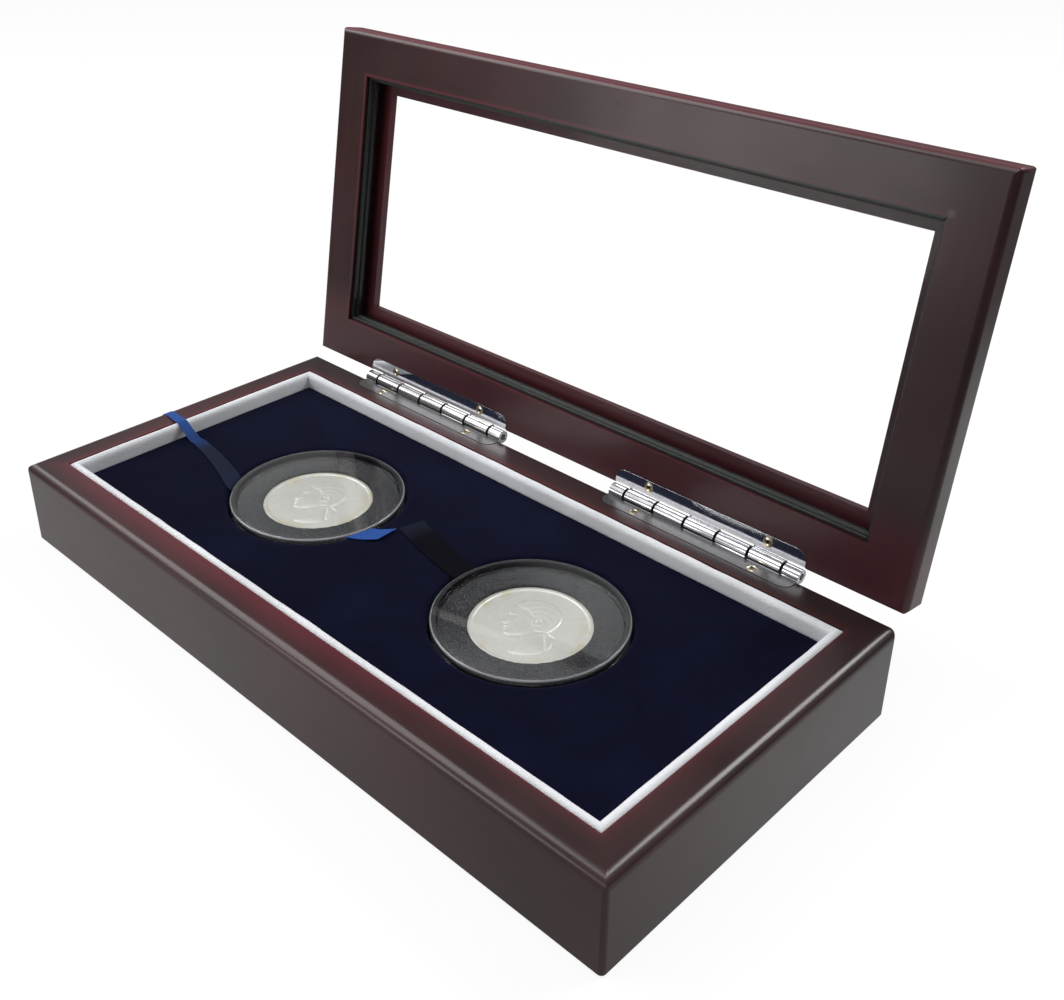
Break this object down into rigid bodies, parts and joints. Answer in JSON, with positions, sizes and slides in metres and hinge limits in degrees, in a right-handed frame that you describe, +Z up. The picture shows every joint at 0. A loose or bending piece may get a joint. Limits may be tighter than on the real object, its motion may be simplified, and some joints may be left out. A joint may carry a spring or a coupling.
{
  "type": "coin display case",
  "caption": "Lacquered wooden display case with a hinged glazed lid, a velvet insert, clear coin capsules in foam rings and lifting ribbons.",
  "frame": {"origin": "middle of the felt underside that the case stands on", "axes": "+X along the length to the right, +Y from the front to the hinges at the back, +Z up; the lid stands open"},
  "size_m": [0.1722, 0.1057, 0.1032],
  "materials": {
    "mahogany_lacquer": "dark red-brown satin lacquer over fine-grained wood",
    "bottom_board": "raw fibreboard",
    "black_felt": "matted wool felt",
    "white_velvet": "short-pile velvet over a padded strip",
    "navy_velvet": "short-pile velvet",
    "insert_foam": "soft foam block",
    "blue_satin": "satin ribbon",
    "clear_acrylic": "polished clear acrylic",
    "grey_foam": "fine-pored dark foam",
    "coin_silver": "matt pale silver with low relief",
    "lid_glass": "clear float glass",
    "black_bead": "black plastic",
    "hinge_chrome": "mirror plated",
    "nail_brass": "pale plated brass"
  },
  "bodies": {
    "base": {"base_front_wall": "mahogany_lacquer", "base_right_wall": "mahogany_lacquer", "base_back_wall": "mahogany_lacquer", "base_left_wall": "mahogany_lacquer", "bottom_board": "bottom_board", "bottom_felt": "black_felt", "liner_front": "white_velvet", "liner_right": "white_velvet", "liner_back": "white_velvet", "liner_left": "white_velvet", "insert_block": "insert_foam", "insert_board": "navy_velvet", "ribbon_left": "blue_satin", "ribbon_right": "blue_satin", "left_hinge_base_leaf": "hinge_chrome", "left_hinge_pin": "hinge_chrome", "right_hinge_base_leaf": "hinge_chrome", "right_hinge_pin": "hinge_chrome", "base_hinge_nails": "nail_brass"},
    "lid": {"lid_front_rail": "mahogany_lacquer", "lid_right_stile": "mahogany_lacquer", "lid_back_rail": "mahogany_lacquer", "lid_left_stile": "mahogany_lacquer", "lid_glass": "lid_glass", "bead_front": "black_bead", "bead_right": "black_bead", "bead_back": "black_bead", "bead_left": "black_bead", "left_hinge_lid_leaf": "hinge_chrome", "right_hinge_lid_leaf": "hinge_chrome", "lid_hinge_nails": "nail_brass"},
    "left_capsule": {"left_capsule_base": "clear_acrylic", "left_foam_ring": "grey_foam", "left_coin": "coin_silver"},
    "left_cover": {"left_capsule_cover": "clear_acrylic"},
    "right_capsule": {"right_capsule_base": "clear_acrylic", "right_foam_ring": "grey_foam", "right_coin": "coin_silver"},
    "right_cover": {"right_capsule_cover": "clear_acrylic"}
  },
  "joints": [
    {"name": "lid_hinge", "type": "hinge", "parent": "base", "child": "lid", "pos_m": [0, 0.04285, 0.0205], "axis": [-1, 0, 0], "range_deg": [-99.5, 0]},
    {"name": "left_capsule_lift", "type": "slide", "parent": "base", "child": "left_capsule", "axis": [0, 0, 1], "range_m": [0, 0.03]},
    {"name": "left_cover_lift", "type": "slide", "parent": "left_capsule", "child": "left_cover", "axis": [0, 0, 1], "range_m": [0, 0.012]},
    {"name": "right_capsule_lift", "type": "slide", "parent": "base", "child": "right_capsule", "axis": [0, 0, 1], "range_m": [0, 0.03]},
    {"name": "right_cover_lift", "type": "slide", "parent": "right_capsule", "child": "right_cover", "axis": [0, 0, 1], "range_m": [0, 0.012]}
  ]
}
